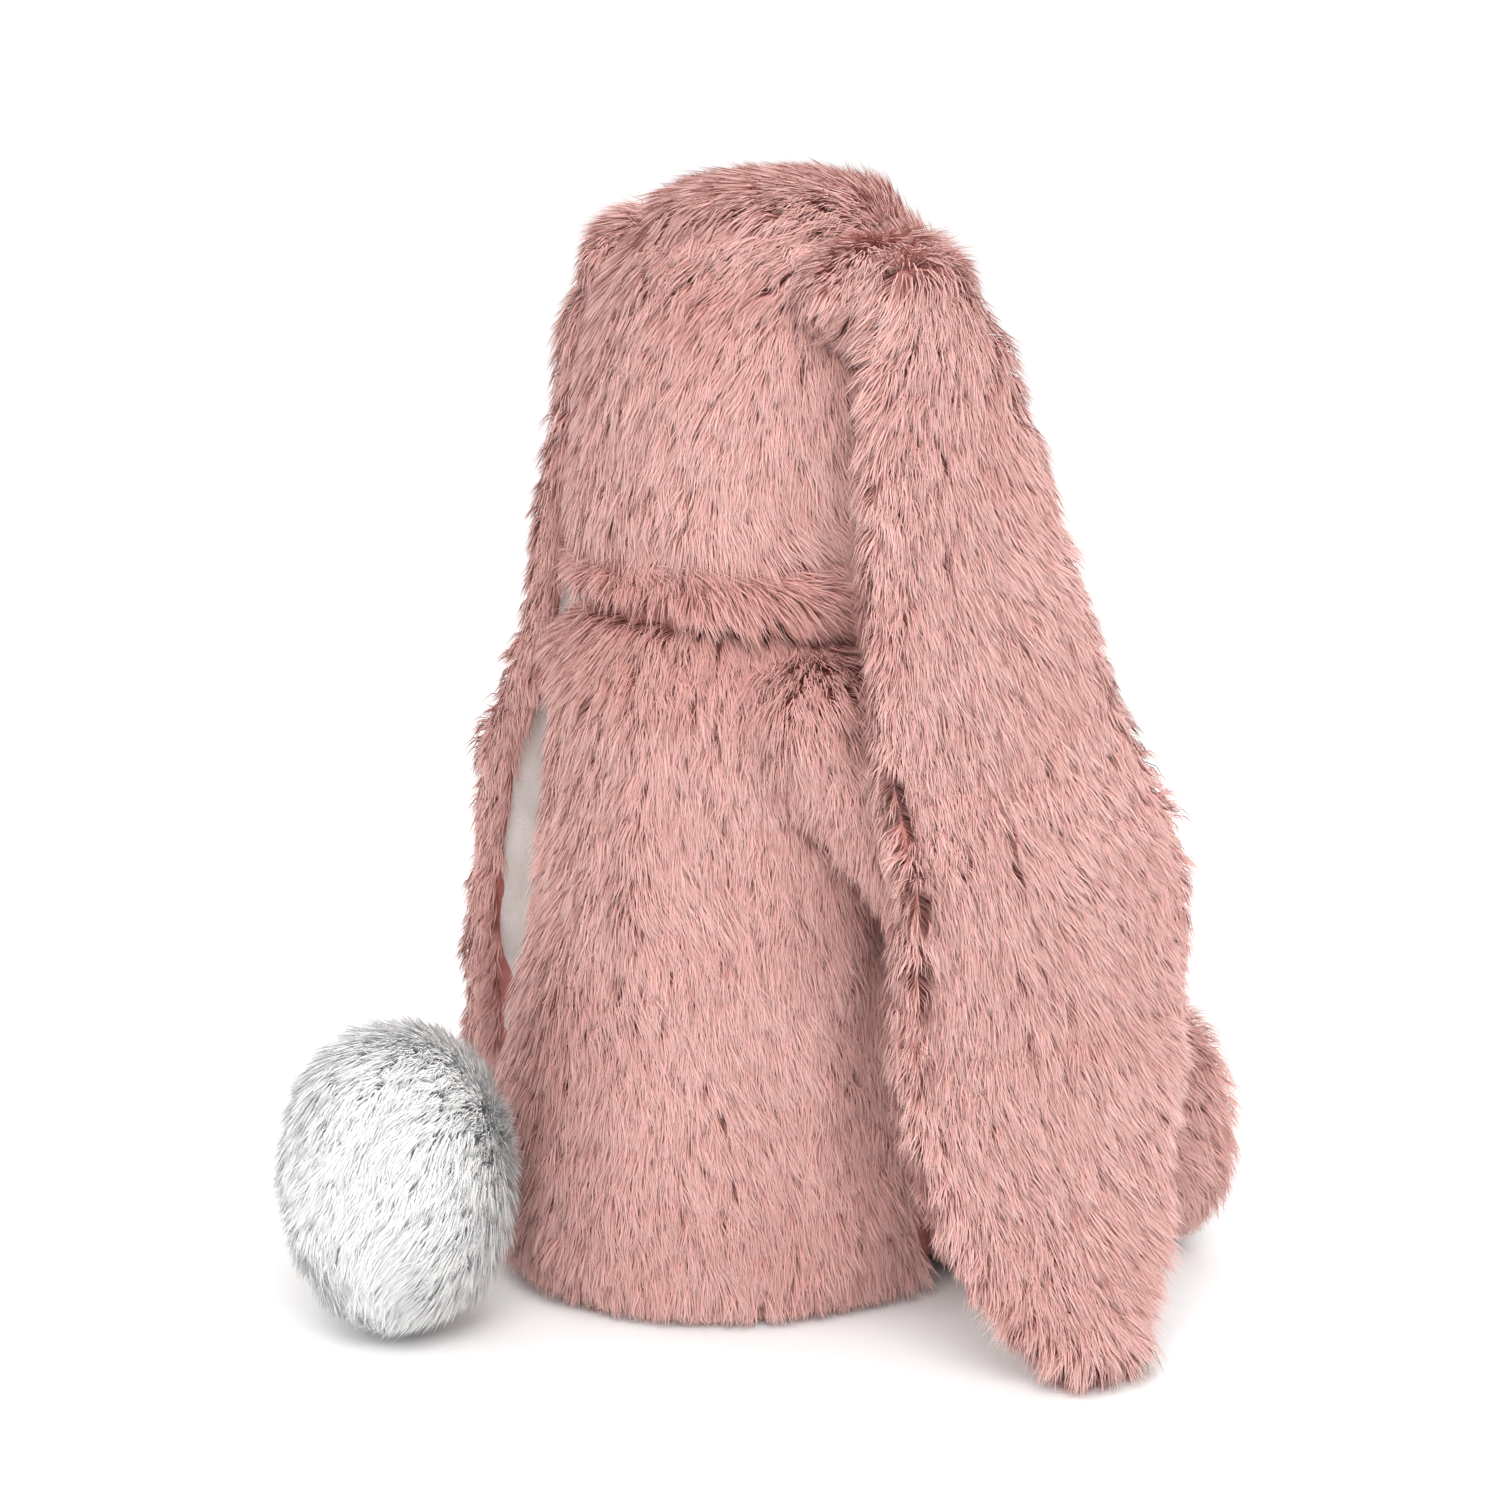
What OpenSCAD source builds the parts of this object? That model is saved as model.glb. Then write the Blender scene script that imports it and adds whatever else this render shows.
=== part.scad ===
// Plush lop-eared bunny that sits on a flat seat.
// The frame is +Z up, face towards -Y, the bunny's left towards +X.
// The origin is the centre of the flat seat, on the surface it sits on.
// Every outer size is taken over the tips of the fur.

/* [Fabric] */
// Depth of the body fur with its backing
pile = 11; // [6:0.5:14]
// Gap between a sewn skin and what fills it
ease = 0.4; // [0.2:0.1:1]
// Gap between two parts that move against each other
move_gap = 1; // [0.5:0.1:2]
// Thickness of the velour used in the ears and under the feet
velour_t = 3; // [2:0.5:4]

/* [Torso] */
// Radius of the flat seat
seat_r = 52; // [40:1:60]
// Radius of the hips, the widest part, front to back
hip_r = 80; // [68:1:96]
// Height of the widest part of the hips
hip_z = 52; // [40:1:65]
// Radius of the waist
waist_r = 66; // [58:1:76]
// Height of the waist
waist_z = 122; // [105:1:130]
// Radius of the shoulders
shoulder_r = 56; // [52:1:62]
// Width of the torso as a share of its depth
oval = 0.9; // [0.85:0.01:1]
// Height of the centre about which the neck bends
neck_z = 166; // [150:1:200]
// Radius of the round end of the torso that fills the neck
neck_r = 52; // [44:1:56]
// Radius of the bag of pellets in the seat
bag_r = 32; // [20:1:34]
// How far the bag lies behind the middle of the seat
bag_back = 12; // [10:1:20]
// Height of the bag of pellets
bag_h = 26; // [14:1:34]

/* [Head] */
// Radius of the head at the cheeks
head_r = 62; // [51:1:75]
// Height of the head from chin to crown
head_h = 126; // [110:1:152]
// How far the head sits ahead of the neck
head_fwd = 10; // [4:1:14]
// Height of the chin above the centre of the neck
chin_up = 25; // [20:1:30]
// Width of the strip of fabric over the crown
crown_w = 44; // [30:1:60]
// Radius of the muzzle
muzzle_r = 28; // [22:1:34]
// How far the muzzle stands out of the face
muzzle_out = 18; // [12:1:22]
// Radius of an eye
eye_r = 7.5; // [5:0.5:9]
// Angle of each eye from straight ahead
eye_turn = 40; // [34:1:50]
// Radius of the stalk behind an eye
stalk_r = 2; // [1.5:0.25:3]
// Radius of the washer that locks an eye
washer_r = 8; // [5:0.5:10]
// Thickness of the washer
washer_t = 2.4; // [1.5:0.2:4]
// Width of the nose
nose_w = 17; // [12:1:22]

/* [Ears] */
// Thickness of an ear over its fur
ear_t = 14; // [12:0.5:18]
// Width of the ear at its widest
ear_w = 108; // [86:1:130]
// Border of fur left round the lining
ear_border = 9; // [6:1:12]
// Height of an ear's tip above the floor
ear_tip_z = 1.5; // [1:0.5:30]

/* [Arms] */
// Radius of an arm at the paw
paw_r = 16; // [12:1:19]
// Radius of an arm at the shoulder
arm_r = 16; // [12:1:18]
// Height of the centre of a shoulder
shoulder_z = 161; // [150:1:170]
// Height of the centre of a paw
paw_z = 100; // [90:1:115]

/* [Legs] */
// Radius of the thigh
thigh_r = 29; // [24:1:31]
// Half the height of a foot
foot_hz = 36.5; // [30:1:42]
// Half the width of a foot
foot_hx = 27; // [22:1:31]
// Distance from the seat's centre to the front of the feet
foot_front = 112; // [104:1:134]

/* [Tail] */
// Radius of the tail
tail_r = 34; // [26:1:41]
// Height of the tail
tail_h = 88; // [64:1:104]
// Depth of the tail's white fur
tail_pile = 12; // [8:1:16]

/* [Hidden] */
$fn = 72;
curve_steps = 4;
ring_sides = 20;
eps = 0.01;

fur_colour = [0.83, 0.58, 0.56];
tail_colour = [0.96, 0.96, 0.95];
velour_colour = [0.93, 0.93, 0.91];
fill_colour = [0.9, 0.9, 0.9];

// ---- curves ----

// Point on a smooth curve between b and c, with neighbours a and d
function spline(a, b, c, d, t) =
    0.5 * (2 * b + (c - a) * t + (2 * a - 5 * b + 4 * c - d) * t * t
    + (3 * b - a - 3 * c + d) * t * t * t);

// Smooth curve through all the points of a list
function curve(p, steps = curve_steps) = [
    for (i = [0 : len(p) - 2])
        for (k = [0 : steps - 1])
            spline(p[max(i - 1, 0)], p[i], p[i + 1], p[min(i + 2, len(p) - 1)], k / steps),
    p[len(p) - 1]
];

// Path moved by d to its left hand side, seen along the path
function moved(p, d) = [
    for (i = [0 : len(p) - 1])
        let (step = p[min(i + 1, len(p) - 1)] - p[max(i - 1, 0)])
        p[i] + d * [-step[1], step[0]] / norm(step)
];

function ellipse(rx, ry, steps = 72) =
    [for (k = [0 : steps - 1]) let (a = 360 * k / steps) [rx * cos(a), ry * sin(a)]];

function reversed(p) = [for (i = [len(p) - 1 : -1 : 0]) p[i]];

// Arc in the r-z plane about a centre on the axis, angles from straight up
function arc_up(r, z, from, to, steps = 10) = [
    for (k = [0 : steps])
        let (a = from + (to - from) * k / steps)
        [r * sin(a), z + r * cos(a)]
];

// ---- solids swept from rings of points ----

// Closed solid through rings that all have the same number of points
module loft(rings) {
    n = len(rings[0]);
    m = len(rings);
    polyhedron(
        points = concat(
            [for (ring = rings) each ring],
            [centre(rings[0]), centre(rings[m - 1])]
        ),
        faces = concat(
            [for (j = [0 : m - 2]) for (i = [0 : n - 1])
                [j * n + i, (j + 1) * n + i, j * n + (i + 1) % n]],
            [for (j = [0 : m - 2]) for (i = [0 : n - 1])
                [j * n + (i + 1) % n, (j + 1) * n + i, (j + 1) * n + (i + 1) % n]],
            [for (i = [0 : n - 1]) [n * m, i, (i + 1) % n]],
            [for (i = [0 : n - 1])
                [n * m + 1, (m - 1) * n + (i + 1) % n, (m - 1) * n + i]]
        )
    );
}

function centre(ring) = [for (k = [0 : 2]) sum([for (p = ring) p[k]]) / len(ring)];
function sum(v, i = 0) = i >= len(v) ? 0 : v[i] + sum(v, i + 1);
function unit(v) = v / norm(v);

// Rings round a path; each path entry is [centre, half width, half depth]
function limb_rings(path, shrink = 0) = [
    for (j = [0 : len(path) - 1])
        let (
            along = unit(path[min(j + 1, len(path) - 1)][0] - path[max(j - 1, 0)][0]),
            side = unit(cross([0, 0, 1], along)),
            up = cross(along, side)
        )
        [for (i = [0 : ring_sides - 1])
            let (a = 360 * i / ring_sides)
            path[j][0] + side * cos(a) * max(path[j][1] - shrink, eps)
            + up * sin(a) * max(path[j][2] - shrink, eps)]
];

// ---- torso ----

rim_angle = 66;
torso_side = curve([
    [seat_r, 0],
    [hip_r - 9, 12],
    [hip_r - 1.5, 30],
    [hip_r, hip_z],
    [(hip_r + waist_r) / 2 + 1, (hip_z + waist_z) / 2],
    [waist_r, waist_z],
    [(waist_r + shoulder_r) / 2 + 1, (waist_z + neck_z + 3) / 2],
    [shoulder_r, neck_z + 3],
    [neck_r * sin(rim_angle), neck_z + neck_r * cos(rim_angle)]
]);
torso_inside = concat(
    [[seat_r, pile]],
    [for (i = [2 : len(torso_side) - 1]) moved(torso_side, pile)[i]]
);
torso_fill = concat(
    [[0, pile + ease], [seat_r - ease, pile + ease]],
    [for (i = [2 : len(torso_inside) - 1]) moved(torso_inside, ease)[i]],
    arc_up(neck_r, neck_z, rim_angle, 0)
);

// Radius of the torso at a height
function torso_r(z) = lookup(z, [for (p = torso_side) [p[1], p[0]]]);
// Half the torso's width at a height, at a distance ahead or behind its middle
function torso_x(y, z) = oval * sqrt(max(pow(torso_r(z), 2) - y * y, 0));

module turned(outline, from = 0, sweep = 360) {
    rotate([0, 0, from]) rotate_extrude(angle = sweep) polygon(outline);
}

// Bowl that the root of an arm turns in, about the tilted axis of the shoulder
module shoulder_bowl() {
    translate([shoulder_x, shoulder_y, shoulder_z])
        rotate([0, arm_tilt, 0])
        rotate([0, 90, 0])
        rotate_extrude()
        polygon([
            [0, -arm_r - 2 * move_gap],
            [bowl_bend, -arm_r * bowl_corner - 2 * move_gap],
            [bowl_r, bowl_rise],
            [bowl_r, 2 * arm_r],
            [0, 2 * arm_r]
        ]);
}

// Hollow that the thigh turns in, with the leg down and lifted
module hip_bowl() {
    translate([hip_x, hip_y, leg_z]) {
        sphere(r = thigh_r + 3 * move_gap);
        for (a = [0, leg_lift])
            rotate([-a, 0, 0])
                translate([-hip_x, -hip_y, -leg_z])
                loft(limb_rings(leg_path, -move_gap));
    }
}

// Hollows that the limbs turn in
module limb_hollows() {
    for (side = [-1, 1])
        mirrored(side) {
            shoulder_bowl();
            hip_bowl();
            loft(limb_rings(arm_path, -move_gap));
        }
}

module torso_skin(from, sweep) {
    difference() {
        scale([oval, 1, 1])
            turned(concat(torso_side, reversed(torso_inside)), from, sweep);
        limb_hollows();
    }
}

module torso_back_left() {
    color(fur_colour) torso_skin(0, 90);
}

module torso_back_right() {
    color(fur_colour) torso_skin(90, 90);
}

module torso_belly() {
    color(fur_colour) torso_skin(180, 180);
}

module torso_base() {
    color(fur_colour)
        difference() {
            linear_extrude(pile) polygon(ellipse(oval * seat_r - ease, seat_r - ease));
            limb_hollows();
        }
}

// The bag lies on the base panel; extra opens its room down through the filling
module bag_shape(extra) {
    translate([0, bag_back, pile + ease - extra])
        cylinder(r = bag_r + extra, h = bag_h + 2 * extra);
}

module torso_stuffing() {
    color(fill_colour)
        difference() {
            scale([oval, 1, 1]) turned(torso_fill);
            limb_hollows();
            bag_shape(2 * ease);
        }
}

module seat_pellet_bag() {
    color("tan") bag_shape(0);
}

// ---- head ----

chin_z = neck_z + chin_up;
crown_z = chin_z + head_h;
head_outline = curve([
    [0, chin_z - 1],
    [head_r * 0.45, chin_z - 1],
    [head_r - 17, chin_z],
    [head_r - 7, chin_z + 8],
    [head_r - 1.5, chin_z + 24],
    [head_r, chin_z + head_h * 0.42],
    [head_r - 1.5, chin_z + head_h * 0.62],
    [head_r - 10, chin_z + head_h * 0.81],
    [head_r * 0.57, chin_z + head_h * 0.94],
    [head_r * 0.28, crown_z - 0.5],
    [0, crown_z]
]);
head_inside = on_axis(moved(head_outline, pile));
head_fill = on_axis(moved(head_outline, pile + ease));

// Path with its two ends put back on the axis
function on_axis(p) = [
    for (i = [0 : len(p) - 1])
        (i == 0 || i == len(p) - 1) ? [0, p[i][1]] : [max(p[i][0], 0), p[i][1]]
];

muzzle_y = -head_fwd - head_r - muzzle_out + muzzle_r;
muzzle_z = chin_z + head_h * 0.33;
eye_z = chin_z + head_h * 0.47;
eye_sink = pile - 3;

module on_head() {
    translate([0, -head_fwd, 0]) children();
}

// Socket in the underside of the head, round the filled neck
module neck_socket() {
    scale([oval, 1, 1]) translate([0, 0, neck_z]) sphere(r = neck_r + move_gap);
}

// Places children at an eye, with +Z pointing out of the face
module at_eye(side) {
    translate([0, -head_fwd, eye_z])
        rotate([0, 0, side * eye_turn])
        translate([0, -head_r + eye_sink, 0])
        rotate([90, 0, 0])
        children();
}

module eye_hole(side) {
    at_eye(side) {
        cylinder(r = eye_r + ease, h = pile);
        translate([0, 0, -pile]) cylinder(r = stalk_r + ease, h = pile + eps);
    }
}

module head_skin() {
    difference() {
        on_head() turned(concat(head_outline, reversed(head_inside)));
        neck_socket();
        translate([0, muzzle_y + muzzle_r, muzzle_z])
            rotate([90, 0, 0])
            cylinder(r = muzzle_r + ease, h = 3 * muzzle_r);
        eye_hole(1);
        eye_hole(-1);
    }
}

// The strip over the crown, from the brow to the nape
module crown_space(extra) {
    translate([-crown_w / 2 - extra, -3 * head_r, chin_z + head_h * 0.5 - extra])
        cube([crown_w + 2 * extra, 6 * head_r, head_h]);
}

module head_crown() {
    color(fur_colour)
        intersection() {
            head_skin();
            crown_space(0);
        }
}

module head_side(side) {
    color(fur_colour)
        difference() {
            head_skin();
            crown_space(ease);
            translate([side > 0 ? -3 * head_r : 0, -3 * head_r, 0])
                cube([3 * head_r, 6 * head_r, 2 * crown_z]);
        }
}

module head_side_left() {
    head_side(1);
}

module head_side_right() {
    head_side(-1);
}

// Round front of the muzzle, with a straight skirt into the face
module muzzle_dome() {
    translate([0, muzzle_y, muzzle_z])
        rotate([90, 0, 0])
        turned(concat([[0, -muzzle_r], [muzzle_r, -muzzle_r]], arc_up(muzzle_r, 0, 90, 0)));
}

module muzzle() {
    color(fur_colour)
        difference() {
            muzzle_dome();
            on_head() cylinder(r = head_r - pile, h = 2 * crown_z);
            nose_shape(ease);
        }
}

nose_t = 5;

// Rounded triangle that points down, on the tip of the muzzle
module nose_shape(extra) {
    translate([0, muzzle_y - muzzle_r + nose_t, muzzle_z + nose_w * 0.3])
        rotate([90, 0, 0])
        translate([0, 0, -nose_t - extra])
        linear_extrude(2 * nose_t + extra)
        polygon([
            [-nose_w / 2 - extra, nose_w * 0.25],
            [-nose_w * 0.32, nose_w * 0.42 + extra],
            [nose_w * 0.32, nose_w * 0.42 + extra],
            [nose_w / 2 + extra, nose_w * 0.25],
            [nose_w * 0.1, -nose_w * 0.36 - extra],
            [-nose_w * 0.1, -nose_w * 0.36 - extra]
        ]);
}

module nose() {
    color("palevioletred") nose_shape(0);
}

stitch_r = 0.9;

// A short line down from the nose and a curve to each side
module mouth_stitches() {
    color("palevioletred")
        translate([0, muzzle_y, muzzle_z])
        rotate([8, 0, 0]) {
            for (side = [-1, 1])
                translate([side * nose_w * 0.42, -muzzle_r + 1.2, -nose_w * 0.5])
                    rotate([90, 0, 0])
                    rotate([0, 0, 180])
                    rotate_extrude(angle = 180)
                    translate([nose_w * 0.42, 0])
                    circle(r = stitch_r, $fn = 16);
        }
}

module eye(side) {
    color("black")
        at_eye(side) {
            difference() {
                translate([0, 0, -eye_r * 0.35]) sphere(r = eye_r);
                translate([-2 * eye_r, -2 * eye_r, -4 * eye_r]) cube(4 * eye_r);
            }
            translate([0, 0, -pile]) cylinder(r = stalk_r, h = pile + 1);
        }
}

module eye_left() {
    eye(1);
}

module eye_right() {
    eye(-1);
}

module eye_washer(side) {
    color("white")
        at_eye(side)
            translate([0, 0, -pile + 2])
            difference() {
                cylinder(r = washer_r, h = washer_t);
                translate([0, 0, -1]) cylinder(r = stalk_r + 0.05, h = washer_t + 2);
            }
}

module eye_washer_left() {
    eye_washer(1);
}

module eye_washer_right() {
    eye_washer(-1);
}

module washer_space(side) {
    at_eye(side) {
        translate([0, 0, -pile + 2 - ease])
            cylinder(r = washer_r + ease, h = washer_t + 2 * ease);
        translate([0, 0, -pile - ease])
            cylinder(r = stalk_r + ease, h = 2 * pile);
    }
}

module head_stuffing() {
    color(fill_colour)
        difference() {
            on_head() turned(head_fill);
            neck_socket();
            washer_space(1);
            washer_space(-1);
            nose_shape(ease);
        }
}

// ---- where the arms hang ----

shoulder_x = oval * torso_r(shoulder_z) - 1;
shoulder_y = 10;
arm_reach = 32;
arm_bend = 0.35;
arm_tilt = 20;
bowl_bend = arm_r * 0.75;
bowl_r = arm_r * 2.2;
bowl_rise = 4;
bowl_corner = 0.75;
arm_drop = shoulder_z - paw_z;

// Middle of the arm at a share of its length, with its radius
function arm_point(t) =
    let (
        r = arm_radius(t),
        z = shoulder_z - arm_drop * t,
        y = shoulder_y - arm_reach * t,
        beside = torso_x(y, z) + move_gap + r
    )
    [shoulder_x + (beside - shoulder_x) * min(t / arm_bend, 1), y, z];
function arm_radius(t) = arm_r + (paw_r - arm_r) * t;

// Distance from the middle plane to the outside of the arm, at a height
function arm_outer(z) =
    let (t = min(max((shoulder_z - z) / arm_drop, 0), 1))
    arm_point(t)[0] + arm_radius(t);

// ---- ears ----

ear_root_z = crown_z - 23;
ear_drop = ear_root_z - ear_tip_z;
ear_root_x = head_r + 1;
ear_slope = 46;
ear_flare = 27;
ear_puff = 5;

// Each row: share of the drop from the root, share of the widest width, and the
// middle of the ear as a share of the widest width behind the torso's middle
ear_rows = [
    [0, 0.32, -0.08, 0.5],
    [0.04, 0.52, -0.08, 0.7],
    [0.14, 0.64, -0.11, 0.9],
    [0.3, 0.82, -0.17, 1],
    [0.46, 0.92, -0.21, 1],
    [0.62, 1, -0.22, 1],
    [0.76, 1, -0.19, 1],
    [0.86, 0.86, -0.17, 1],
    [0.94, 0.55, -0.16, 0.85],
    [1, 0.12, -0.17, 0.4]
];
ear_line = curve(ear_rows, 2);

// Distance from the middle plane to the middle of the ear, at a height
function ear_x(z) =
    let (
        down = (ear_root_z - z) / ear_drop,
        hang = ear_root_x + ear_slope * down + ear_flare * pow(down, 4)
            + ear_puff * (1 - exp(-20 * down)),
        past_arm = (z > paw_z - paw_r && z < shoulder_z + arm_r)
            ? arm_outer(z) + 5 * move_gap + ear_t / 2 : 0
    )
    max(hang, past_arm);

ear_middle = [
    for (row = ear_line)
        let (z = ear_root_z - ear_drop * row[0])
        [ear_x(z), ear_w * row[2], z]
];

// Rings of an ear; from and to are depths through it, inside to outside
function ear_rings(from, to, border) = [
    for (j = [0 : len(ear_line) - 1])
        let (
            along = unit(ear_middle[min(j + 1, len(ear_line) - 1)]
                - ear_middle[max(j - 1, 0)]),
            out = unit([-along[2], 0, along[0]]),
            half = max(ear_w * ear_line[j][1] / 2 - border, 1),
            thick = ear_line[j][3] * ear_t,
            low = from * thick - thick / 2,
            high = to * thick - thick / 2,
            c = ear_middle[j] + out * (low + high) / 2
        )
        [for (i = [0 : ring_sides - 1])
            let (a = 360 * i / ring_sides)
            c + [0, 1, 0] * half * cos(a)
            + out * (high - low) / 2 * sin(a) * (0.4 + 0.6 * pow(abs(sin(a)), 0.5))]
];

lining_share = velour_t / ear_t;
lining_gap = 0.06;

module mirrored(side) {
    if (side > 0) children();
    else mirror([1, 0, 0]) children();
}

module ear_back(side) {
    color(fur_colour)
        mirrored(side)
        loft(ear_rings(lining_share + lining_gap, 1, 0));
}

module ear_lining(side) {
    color(velour_colour)
        mirrored(side)
        loft([for (j = [1 : len(ear_line) - 2]) ear_rings(0, lining_share, ear_border)[j]]);
}

module ear_back_left() {
    ear_back(1);
}

module ear_back_right() {
    ear_back(-1);
}

module ear_lining_left() {
    ear_lining(1);
}

module ear_lining_right() {
    ear_lining(-1);
}

// ---- arms ----

arm_start = unit(arm_point(0) - arm_point(0.1));
arm_end = unit(arm_point(1) - arm_point(0.9));
arm_path = concat(
    [for (a = [80 : -25 : 5])
        [arm_point(0) + arm_start * arm_r * sin(a), arm_r * cos(a), arm_r * cos(a)]],
    [for (t = [0.1 : 0.15 : 0.9]) [arm_point(t), arm_radius(t), arm_radius(t)]],
    [for (a = [0 : 20 : 80])
        [arm_point(1) + arm_end * paw_r * sin(a), paw_r * cos(a), paw_r * cos(a)]]
);

module arm_solid() {
    loft(limb_rings(arm_path));
}

arm_pile = pile * 0.55;
arm_inner = [
    for (p = arm_path)
        if (p[1] > arm_pile + ease) p
];

module arm_core(extra) {
    loft(limb_rings(arm_inner, arm_pile - extra));
}

module arm_fur(side) {
    color(fur_colour)
        mirrored(side)
        difference() {
            arm_solid();
            arm_core(ease);
        }
}

module arm_stuffing(side) {
    color(fill_colour) mirrored(side) arm_core(0);
}

module arm_fur_left() {
    arm_fur(1);
}

module arm_fur_right() {
    arm_fur(-1);
}

module arm_stuffing_left() {
    arm_stuffing(1);
}

module arm_stuffing_right() {
    arm_stuffing(-1);
}

// ---- legs ----

leg_z = thigh_r + 3;
hip_x = hip_r * 0.575;
hip_y = -hip_r * 0.475;
leg_lift = 15;
foot_x = hip_r * 0.8;
foot_t = 27;

// The thigh's ball, a shorter shank and an upright foot
leg_path = [
    [[hip_x - 2, hip_y + 27, leg_z], 8, 8],
    [[hip_x - 1, hip_y + 22, leg_z], 18, 18],
    [[hip_x, hip_y + 12, leg_z], 25.5, 25.5],
    [[hip_x + 1, hip_y, leg_z], 28.5, 28.5],
    [[hip_x + 4, hip_y - 14, leg_z - 2], 27, 26],
    [[hip_x + 9, hip_y - 30, leg_z - 5], 24, 24],
    [[foot_x - 4, -foot_front + foot_t + 12, leg_z - 4], 23, 26],
    [[foot_x - 1, -foot_front + foot_t + 1, foot_hz - 1], foot_hx - 3, foot_hz - 4],
    [[foot_x, -foot_front + foot_t - 8, foot_hz + 2], foot_hx, foot_hz],
    [[foot_x, -foot_front + 8, foot_hz + 2], foot_hx, foot_hz],
    [[foot_x, -foot_front + velour_t + ease, foot_hz + 2], foot_hx - 5, foot_hz - 5]
];
leg_inner = [for (j = [1 : len(leg_path) - 2]) leg_path[j]];
leg_pile = pile * 0.8;

module leg_core(extra) {
    loft(limb_rings(leg_inner, leg_pile - extra));
}

module leg_fur(side) {
    color(fur_colour)
        mirrored(side)
        difference() {
            loft(limb_rings(leg_path));
            leg_core(ease);
        }
}

module leg_stuffing(side) {
    color(fill_colour) mirrored(side) leg_core(0);
}

module foot_sole(side) {
    color(velour_colour)
        mirrored(side)
        loft(limb_rings([
            [[foot_x, -foot_front + velour_t, foot_hz + 2], foot_hx - 5, foot_hz - 5],
            [[foot_x, -foot_front, foot_hz + 2], foot_hx - 8, foot_hz - 8]
        ]));
}

module leg_fur_left() {
    leg_fur(1);
}

module leg_fur_right() {
    leg_fur(-1);
}

module foot_sole_left() {
    foot_sole(1);
}

module foot_sole_right() {
    foot_sole(-1);
}

module leg_stuffing_left() {
    leg_stuffing(1);
}

module leg_stuffing_right() {
    leg_stuffing(-1);
}

// ---- tail ----

tail_lift = 1.5;
tail_z = tail_h / 2 + tail_lift;
tail_y = torso_r(tail_z) + 2 * move_gap + tail_r;

// Half of an egg-like outline, with a power that squares it a little
function tail_outline(r, h) = [
    for (a = [-90 : 10 : 90])
        [r * pow(cos(a), 0.85), h / 2 * sin(a)]
];

module tail_solid(r, h, from, sweep) {
    translate([0, tail_y, tail_z]) turned(tail_outline(r, h), from, sweep);
}

module tail_skin(from) {
    difference() {
        tail_solid(tail_r, tail_h, from, 180);
        tail_solid(tail_r - tail_pile, tail_h - 2 * tail_pile, 0, 360);
    }
}

module tail_left() {
    color(tail_colour) tail_skin(-90);
}

module tail_right() {
    color(tail_colour) tail_skin(90);
}

module tail_stuffing() {
    color(fill_colour)
        tail_solid(tail_r - tail_pile - ease, tail_h - 2 * (tail_pile + ease), 0, 360);
}

torso_back_left();
torso_back_right();
torso_belly();
torso_base();
torso_stuffing();
seat_pellet_bag();
head_crown();
head_side_left();
head_side_right();
muzzle();
nose();
mouth_stitches();
eye_left();
eye_right();
eye_washer_left();
eye_washer_right();
head_stuffing();
ear_back_left();
ear_back_right();
ear_lining_left();
ear_lining_right();
arm_fur_left();
arm_fur_right();
arm_stuffing_left();
arm_stuffing_right();
leg_fur_left();
leg_fur_right();
foot_sole_left();
foot_sole_right();
leg_stuffing_left();
leg_stuffing_right();
tail_left();
tail_right();
tail_stuffing();
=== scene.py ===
import math

import bpy
import numpy as np
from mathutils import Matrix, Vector
from mathutils.bvhtree import BVHTree


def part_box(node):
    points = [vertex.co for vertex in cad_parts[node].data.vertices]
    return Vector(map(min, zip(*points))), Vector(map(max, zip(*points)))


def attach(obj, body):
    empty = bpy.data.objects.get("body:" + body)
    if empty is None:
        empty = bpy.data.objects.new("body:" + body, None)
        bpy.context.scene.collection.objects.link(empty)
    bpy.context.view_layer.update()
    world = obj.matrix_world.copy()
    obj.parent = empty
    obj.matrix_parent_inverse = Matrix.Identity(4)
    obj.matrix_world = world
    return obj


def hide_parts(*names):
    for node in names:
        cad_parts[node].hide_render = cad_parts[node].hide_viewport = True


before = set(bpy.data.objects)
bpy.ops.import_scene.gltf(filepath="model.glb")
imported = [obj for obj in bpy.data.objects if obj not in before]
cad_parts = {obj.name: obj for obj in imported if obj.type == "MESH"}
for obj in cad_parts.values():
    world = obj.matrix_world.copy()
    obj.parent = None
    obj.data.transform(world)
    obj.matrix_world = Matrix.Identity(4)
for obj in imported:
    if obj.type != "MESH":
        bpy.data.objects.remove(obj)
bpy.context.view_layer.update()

MM = 0.001
SIDES = (("left", 1.0), ("right", -1.0))


# ---- small helpers ----

def unit(v):
    return v / np.maximum(np.linalg.norm(v, axis=-1, keepdims=True), 1e-12)


def smooth_step(x, low, high):
    t = np.clip((x - low) / (high - low), 0, 1)
    return t * t * (3 - 2 * t)


def box(node):
    low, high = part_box(node)
    return np.array(low), np.array(high)


def hash01(cells, salt):
    """A repeatable random number from 0 to 1 for each row of whole numbers."""
    h = np.full(len(cells), salt * 2654435761 % 4294967296, dtype=np.uint64)
    for k, prime in enumerate((73856093, 19349663, 83492791)):
        h ^= (cells[:, k].astype(np.int64).astype(np.uint64) * np.uint64(prime)) & np.uint64(0xFFFFFFFF)
        h = (h * np.uint64(2246822519) + np.uint64(3266489917)) & np.uint64(0xFFFFFFFF)
        h ^= h >> np.uint64(15)
    return h.astype(np.float64) / 4294967296.0


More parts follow.
